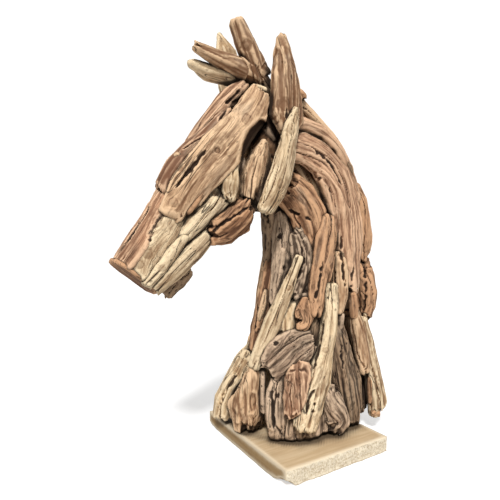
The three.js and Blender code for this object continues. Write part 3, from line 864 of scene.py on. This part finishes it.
# Where the painted shade lies, as a layer would say it: in cracks, holes, grooves and the eye hollow, in
# crevices and in hollows. Then how dark the painted shade, a knot and a speck are at most.
PAINTED_SHADE_SPANS = {"Crack": (0.25, 0.9, 0.0, 0.95), "Crevice_shade": (0.12, 0.55, 0.0, 0.97), "Crests_and_hollows": (-1.0, -0.25, 0.9, 0.0)}
PAINTED_SHADE_DARK = 0.95
KNOT_DARK = 0.45
SPECK_DARK = 0.5
# Hairline cracks run where their pattern is this near its middle value, in cracked wood.
HAIRLINE = (0.002, 0.016, 1.0, 0.0)
CRACKED = (0.4, 0.54)
# Worm holes come so often and reach this far from their middle, in rotten wood.
HOLES_OFTEN = (60, 120, 120)
WORM_HOLE = (0.1, 0.26, 1.0, 0.0)
ROTTEN = (0.46, 0.62)
# Specks are where the grit is above these.
SPECKS = (0.56, 0.7)
# How rough the wood is between its streaks and on them, and how far each kind of mark stands out or in.
WOOD_ROUGHNESS = (0.3, 0.7, 0.7, 0.92)
STREAK_RISE = -0.6
FIBRE_RISE = -0.3
SPECK_SINK = 0.7
CRACK_SINK = 1.4


# Weathered wood as a group: colour, roughness and height from the grain, the cracks, the knots and the wear,
# with shade painted into its cracks, holes, crevices and hollows.
def weathered_wood_group():
    tree, inputs, outputs = new_group(
        "weathered_wood",
        {"Vector": ("Grain",), "Color": ("Pale", "Wood", "Deep"),
         "Float": ("Crack", "Knot", "Crests_and_hollows", "Crevice_shade", "Shade", "Cracking", "Pitting")},
        {"Color": ("Color",), "Float": ("Roughness", "Height")})
    grain = inputs["Grain"]
    drawn = {name: grainy(tree, grain, *look) for name, look in DRAWN.items()}
    sources = {name: inputs[name] for name in ("Shade", "Crests_and_hollows", "Pale", "Deep")}
    color = layered(tree, inputs["Wood"], {**drawn, **sources, "Silver": SILVER}, WOOD_LAYERS)
    color = mix(tree, times(tree, inputs["Knot"], KNOT_DARK), color, inputs["Deep"])
    line = maths(tree, "ABSOLUTE", maths(tree, "SUBTRACT", drawn["hairlines"], 0.5))
    hairline = times(tree, remap(tree, line, *HAIRLINE), remap(tree, drawn["cracked"], *CRACKED))
    hairline = times(tree, hairline, inputs["Cracking"])
    cells = tree.nodes.new("ShaderNodeTexVoronoi")
    cells.inputs["Scale"].default_value = 1.0
    link(tree, stretched(tree, grain, HOLES_OFTEN), cells.inputs["Vector"])
    hole = remap(tree, cells.outputs["Distance"], *WORM_HOLE)
    pits = times(tree, times(tree, hole, remap(tree, drawn["rotten"], *ROTTEN)), inputs["Pitting"])
    gaps = maths(tree, "MAXIMUM", hairline, pits)
    # The hairline cracks and worm holes, and the cracks, crevices and hollows, are darkened with painted
    # shade.
    painted_shade = gaps
    for name, span in PAINTED_SHADE_SPANS.items():
        painted_shade = maths(tree, "MAXIMUM", painted_shade, remap(tree, inputs[name], *span))
    color = mix(tree, times(tree, painted_shade, PAINTED_SHADE_DARK), color, PAINTED_SHADE)
    specks = times(tree, remap(tree, drawn["grit"], *SPECKS), inputs["Pitting"])
    raised = maths(tree, "ADD", times(tree, drawn["streaks"], STREAK_RISE),
                   times(tree, drawn["fibres"], FIBRE_RISE))
    raised = maths(tree, "SUBTRACT", raised, times(tree, specks, SPECK_SINK))
    sunk = times(tree, gaps, CRACK_SINK)
    link(tree, mix(tree, times(tree, specks, SPECK_DARK), color, inputs["Deep"]), outputs["Color"])
    link(tree, remap(tree, drawn["streaks"], *WOOD_ROUGHNESS), outputs["Roughness"])
    link(tree, maths(tree, "SUBTRACT", raised, sunk), outputs["Height"])
    return tree


# How shiny the wood is, and the strength and depth of the bump on the driftwood and on the slab.
SHINE = 0.25
WOOD_BUMP = (0.9, 0.002)
SLAB_BUMP = (0.6, 0.001)


# A material with its Principled shader, and a bump of a given depth that waits for its height.
def new_material(name, strength, distance):
    material = bpy.data.materials.new(name)
    material.use_nodes = True
    tree = material.node_tree
    surface = tree.nodes["Principled BSDF"]
    surface.inputs["Specular IOR Level"].default_value = SHINE
    bump = tree.nodes.new("ShaderNodeBump")
    bump.inputs["Strength"].default_value = strength
    bump.inputs["Distance"].default_value = distance
    link(tree, bump.outputs["Normal"], surface.inputs["Normal"])
    return material, tree, surface.inputs, bump.inputs["Height"]


def driftwood_material(slot, finish, group):
    material, tree, surface, height = new_material(slot, *WOOD_BUMP)
    wood = tree.nodes.new("ShaderNodeGroup")
    wood.node_tree = group
    link(tree, attribute_of(tree, "grain", "Vector"), wood.inputs["Grain"])
    for socket in ("Crack", "Knot", "Crests_and_hollows", "Crevice_shade", "Shade"):
        link(tree, attribute_of(tree, socket.lower()), wood.inputs[socket])
    for socket in ("Pale", "Wood", "Deep"):
        wood.inputs[socket].default_value = (*paint(finish[socket.lower()]), 1)
    wood.inputs["Cracking"].default_value = finish["crack"]
    wood.inputs["Pitting"].default_value = finish["pits"]
    link(tree, wood.outputs["Height"], height)
    link(tree, wood.outputs["Color"], surface["Base Color"])
    link(tree, wood.outputs["Roughness"], surface["Roughness"])
    return material


WOOD_GROUP = weathered_wood_group()
MATERIALS = {slot: driftwood_material(slot, finish, WOOD_GROUP) for slot, finish in FINISHES.items()}

# Slender or much-seen pieces get the finer faces, and the side away from the camera the coarser ones.
FINE_PIECES = {
    "left_ear", "right_ear", "forked_branch", "lower_branch", "left_jaw_strap", "left_cheek_plank",
    "left_muzzle_plank", "left_cheek_log", "left_jaw_wedge", "left_lip_strip", "left_chin_plank",
    "left_jaw_stave", "left_eye_block", "nose_stave", "diagonal_pole", "left_long_leg",
    "grey_plate", "base_lobe", "smooth_chip", "left_splayed_foot", "muzzle_board", "muzzle_top_stave",
}
HIDDEN_PIECES = {"left_temple_block", "inner_grey_stave", "throat_middle_stave", "rear_block"}


def face_of(node):
    if node in FINE_PIECES:
        return FINE_FACE
    return FAR_FACE if node.startswith("right_") or node in HIDDEN_PIECES else FACE


# The line up through the middle of a node.
def upright_line(node):
    low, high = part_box(node)
    middle = (low + high) / 2
    return densely(((middle.x, middle.y, low.z), (middle.x, middle.y, high.z)))


# Every node but the slab is replaced by its piece of driftwood, each with a seed of its own.
def driftwood_pieces():
    slots = {part["node"]: part["material_slot"] for part in frame["record"]["subparts"]}
    lines = {node: [upright_line(node)] for node in UPRIGHT}
    lines["forked_branch"] = [densely(line) for line in FORK_LINES]
    made = []
    for index, node in enumerate(sorted(frame["nodes"])):
        if node != "base_slab":
            passes = SQUARE_WEARING if node in SQUARE else WEARING
            seed = FIRST_SEED + index * SEED_STEP
            piece = driftwood(node + "_wood", solid_of(node), slots[node], seed, face_of(node),
                              lines.get(node), passes)
            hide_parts(node)
            made.append(piece)
    return made


# The small pieces, each between two pixels of the photograph.
def chip_pieces():
    rng = np.random.default_rng(CHIP_SHAPES_SEED)
    made = []
    for index, (name, (start, end, width, thick, stand, slot, *plane)) in enumerate(CHIPS.items()):
        bm = chip_shape(rng, start, end, width, thick, stand, *plane)
        made.append(driftwood(name, bm, slot, FIRST_CHIP_SEED + index * CHIP_SEED_STEP, FINE_FACE))
    return made


# The slab: a board with eased edges, rough and chipped where it was sawn across, and its underside worn away
# at two corners. Its faces are cut across so many times along X, Y and Z.
SLAB_STEPS = (72, 86, 9)
# How deep the sawn sides and the flanks are rough and their edges chipped, and how near to the top or the
# underside.
SAWN_ROUGH = 0.0028
SAWN_CHIP = 0.0022
FLANK_ROUGH = 0.0002
FLANK_CHIP = 0.0006
CHIP_REACH = 0.006
# How squarely a face looks along Y to be sawn and along X to be a flank, and at which values chips open.
SAWN_FACING = (0.5, 0.9)
FLANK_FACING = (0.3, 0.8)
CHIPPED = (0.25, 0.7)
# Where the underside is worn away at a corner: its place, how far that reaches along X and Y, and how high.
WORN_CORNERS = (((-0.145, -0.175), (0.026, 0.062), 0.017), ((-0.145, 0.175), (0.030, 0.040), 0.008))


# The board with its edges eased, before its sides are roughened.
def slab_shape():
    low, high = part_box("base_slab")
    bm = bmesh.new()
    bmesh.ops.create_cube(bm, size=1)
    for axis, cuts in enumerate(SLAB_STEPS):
        edges = [e for e in bm.edges if abs(e.verts[0].co[axis] - e.verts[1].co[axis]) > 0.5]
        bmesh.ops.subdivide_edges(bm, edges=edges, cuts=cuts, use_grid_fill=True)
    bmesh.ops.scale(bm, vec=high - low, verts=bm.verts)
    bmesh.ops.translate(bm, vec=(high + low) / 2, verts=bm.verts)
    bmesh.ops.smooth_vert(bm, verts=bm.verts, factor=0.5, use_axis_x=True, use_axis_y=True, use_axis_z=True)
    return bm


def slab():
    low, high = (np.array(corner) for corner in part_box("base_slab"))
    mesh = bpy.data.meshes.new("base_slab_board")
    bm = slab_shape()
    bm.to_mesh(mesh)
    bm.free()
    places, normals = read_vertices(mesh)
    sawn = smoothstep(*SAWN_FACING, np.abs(normals[:, 1]))
    side = smoothstep(*FLANK_FACING, np.abs(normals[:, 0]))
    rough = pattern("slab_roughness", places) + pattern("slab_grit", places)
    bite = smoothstep(*CHIPPED, pattern("slab_chips", places))
    edge = 1 - smoothstep(0.0, CHIP_REACH, np.minimum(places[:, 2] - low[2], high[2] - places[:, 2]))
    inward = sawn * (SAWN_ROUGH * (0.5 + 0.5 * rough) + SAWN_CHIP * bite * edge)
    inward = inward + side * (FLANK_ROUGH * np.abs(rough) + FLANK_CHIP * bite * edge)
    places = places - normals * inward[:, None]
    depth = (high[2] - places[:, 2]) / (high[2] - low[2])
    for corner, reach, lift in WORN_CORNERS:
        away = np.linalg.norm((places[:, :2] - corner) / reach, axis=1)
        places[:, 2] += lift * depth * (1 - smoothstep(0, 1, away + pattern("worn_corners", places)))
    write_vertices(mesh, places.clip(low, high))
    store(mesh, "sawn", sawn)
    store(mesh, "side", side)
    store(mesh, "crests_and_hollows", crests_and_hollows_of(mesh))
    mesh.polygons.foreach_set("use_smooth", [True] * len(mesh.polygons))
    mesh.materials.append(slab_material())
    board = put("base_slab_board", mesh)
    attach(board, "root")
    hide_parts("base_slab")
    return board


# Patterns drawn on the slab, as on the wood, but along X, Y and Z.
SLAB_DRAWN = {
    "streaks": ((7, 130, 130), 4.0),
    "clouds": ((9, 14, 9), 3.0),
    "grit": ((260, 260, 260), 3.0, 0.65),
    "flecks": ((50, 90, 110), 4.0, 0.7),
    "lengthwise": ((90, 5, 90), 3.0),
}
# Its top is smooth tan wood with faint streaks, its sawn sides are pale and rough, and its flanks brown.
SLAB_COLOURS = {name: paint(code) for name, code in {
    "tan": "cdb592", "tan_streak": "b79a73", "tan_cloud": "b29673", "straw": "dcd0ba", "sand": "bba98b",
    "fleck": "94795a", "brown": "957a54", "deep_brown": "7d6240", "bare_edge": "efe2c8", "shadow": "3d2f22",
}.items()}
# The layers of colour on each, and on the whole board: pale worn edges, and painted shadow in its crevices.
TOP_LAYERS = (("streaks", (0.38, 0.68, 0.0, 0.6), "tan_streak"),
              ("clouds", (0.4, 0.68, 0.0, 0.6), "tan_cloud"))
SAWN_LAYERS = (("grit", (0.4, 0.62), "sand"), ("flecks", (0.56, 0.7, 0.0, 0.6), "fleck"))
FLANK_LAYERS = (("lengthwise", (0.35, 0.7), "deep_brown"),)
BOARD_LAYERS = (("crests_and_hollows", (0.1, 0.9, 0.0, 0.5), "bare_edge"), ("crevice_shade", (0.06, 0.55, 0.0, 0.85), "shadow"))
# How rough it is between its grit and on it, and how far its streaks stand out.
SLAB_ROUGHNESS = (0.3, 0.7, 0.62, 0.85)
SLAB_STREAK_RISE = 0.25


def slab_material():
    material, tree, surface, height = new_material("slab_wood", *SLAB_BUMP)
    place = tree.nodes.new("ShaderNodeTexCoord").outputs["Object"]
    sources = {name: grainy(tree, place, *look) for name, look in SLAB_DRAWN.items()}
    sources.update({name: attribute_of(tree, name) for name in ("side", "sawn", "crests_and_hollows", "crevice_shade")})
    sources.update(SLAB_COLOURS)
    top = layered(tree, sources["tan"], sources, TOP_LAYERS)
    sawn = layered(tree, sources["straw"], sources, SAWN_LAYERS)
    flank = layered(tree, sources["brown"], sources, FLANK_LAYERS)
    color = mix(tree, sources["side"], top, flank)
    color = mix(tree, sources["sawn"], color, sawn)
    link(tree, layered(tree, color, sources, BOARD_LAYERS), surface["Base Color"])
    link(tree, remap(tree, sources["grit"], *SLAB_ROUGHNESS), surface["Roughness"])
    link(tree, maths(tree, "ADD", times(tree, sources["grit"], sources["sawn"]),
                     times(tree, sources["streaks"], SLAB_STREAK_RISE)), height)
    return material


# The room: a pale round floor that looks nearly white to the camera, soft light and the camera itself.
FLOOR_RADIUS = 60
FLOOR_SIDES = 64
FLOOR_GREY = (0.6, 0.6, 0.6, 1)
FLOOR_ROUGHNESS = 0.9
FLOOR_GLOW = 0.52
ROOM_SEEN = 1.1
ROOM_LIGHT = 0.36
ROOM_TINT = (1.0, 0.99, 0.97, 1)
WHITE = (1, 1, 1, 1)
# Where each lamp's light comes from, how strong it is, and how many degrees wide it looks.
LAMPS = {
    "key": ((-0.62, -0.85, 1.1), 3.3, 8),
    "fill": ((0.9, -0.8, 0.6), 0.5, 60),
}


def floor():
    bm = bmesh.new()
    bmesh.ops.create_circle(bm, cap_ends=True, radius=FLOOR_RADIUS, segments=FLOOR_SIDES)
    mesh = bpy.data.meshes.new("floor")
    bm.to_mesh(mesh)
    bm.free()
    material = bpy.data.materials.new("pale_floor")
    material.use_nodes = True
    tree = material.node_tree
    surface = tree.nodes["Principled BSDF"].inputs
    surface["Base Color"].default_value = FLOOR_GREY
    surface["Roughness"].default_value = FLOOR_ROUGHNESS
    surface["Emission Color"].default_value = WHITE
    path = tree.nodes.new("ShaderNodeLightPath")
    glow = times(tree, path.outputs["Is Camera Ray"], FLOOR_GLOW)
    link(tree, glow, surface["Emission Strength"])
    mesh.materials.append(material)
    ground = put("floor", mesh)
    ground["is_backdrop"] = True


def sunlight(name, come_from, strength, spread):
    lamp = bpy.data.lights.new(name, "SUN")
    lamp.energy = strength
    lamp.angle = math.radians(spread)
    put(name, lamp).rotation_euler = Vector(come_from).to_track_quat("Z", "Y").to_euler()


# The camera sees a white room, and the wood is lit by a dimmer one.
def surroundings():
    world = bpy.data.worlds.new("room")
    bpy.context.scene.world = world
    world.use_nodes = True
    tree = world.node_tree
    seen = tree.nodes["Background"]
    seen.inputs["Color"].default_value = WHITE
    seen.inputs["Strength"].default_value = ROOM_SEEN
    glow = tree.nodes.new("ShaderNodeBackground")
    glow.inputs["Color"].default_value = ROOM_TINT
    glow.inputs["Strength"].default_value = ROOM_LIGHT
    path = tree.nodes.new("ShaderNodeLightPath")
    blend = tree.nodes.new("ShaderNodeMixShader")
    link(tree, path.outputs["Is Camera Ray"], blend.inputs[0])
    link(tree, glow.outputs[0], blend.inputs[1])
    link(tree, seen.outputs[0], blend.inputs[2])
    link(tree, blend.outputs[0], tree.nodes["World Output"].inputs["Surface"])


def camera():
    lens = bpy.data.cameras.new("camera")
    lens.sensor_width = SENSOR_MILLIMETRES
    lens.lens = SENSOR_MILLIMETRES * FOCAL_PIXELS / IMAGE
    lens.shift_y = (HORIZON_ROW - IMAGE / 2) / IMAGE
    lens.clip_start = NEAREST_SEEN
    lens.clip_end = 2 * FLOOR_RADIUS
    holder = put("camera", lens)
    holder.location = CAMERA_PLACE
    holder.rotation_euler = (math.pi / 2, 0, -CAMERA_TURN)
    bpy.context.scene.camera = holder


measure_crevice_shade(driftwood_pieces() + chip_pieces() + [slab()])
floor()
surroundings()
for name, (come_from, strength, spread) in LAMPS.items():
    sunlight(name, come_from, strength, spread)
camera()
bpy.context.scene.view_settings.view_transform = "Standard"
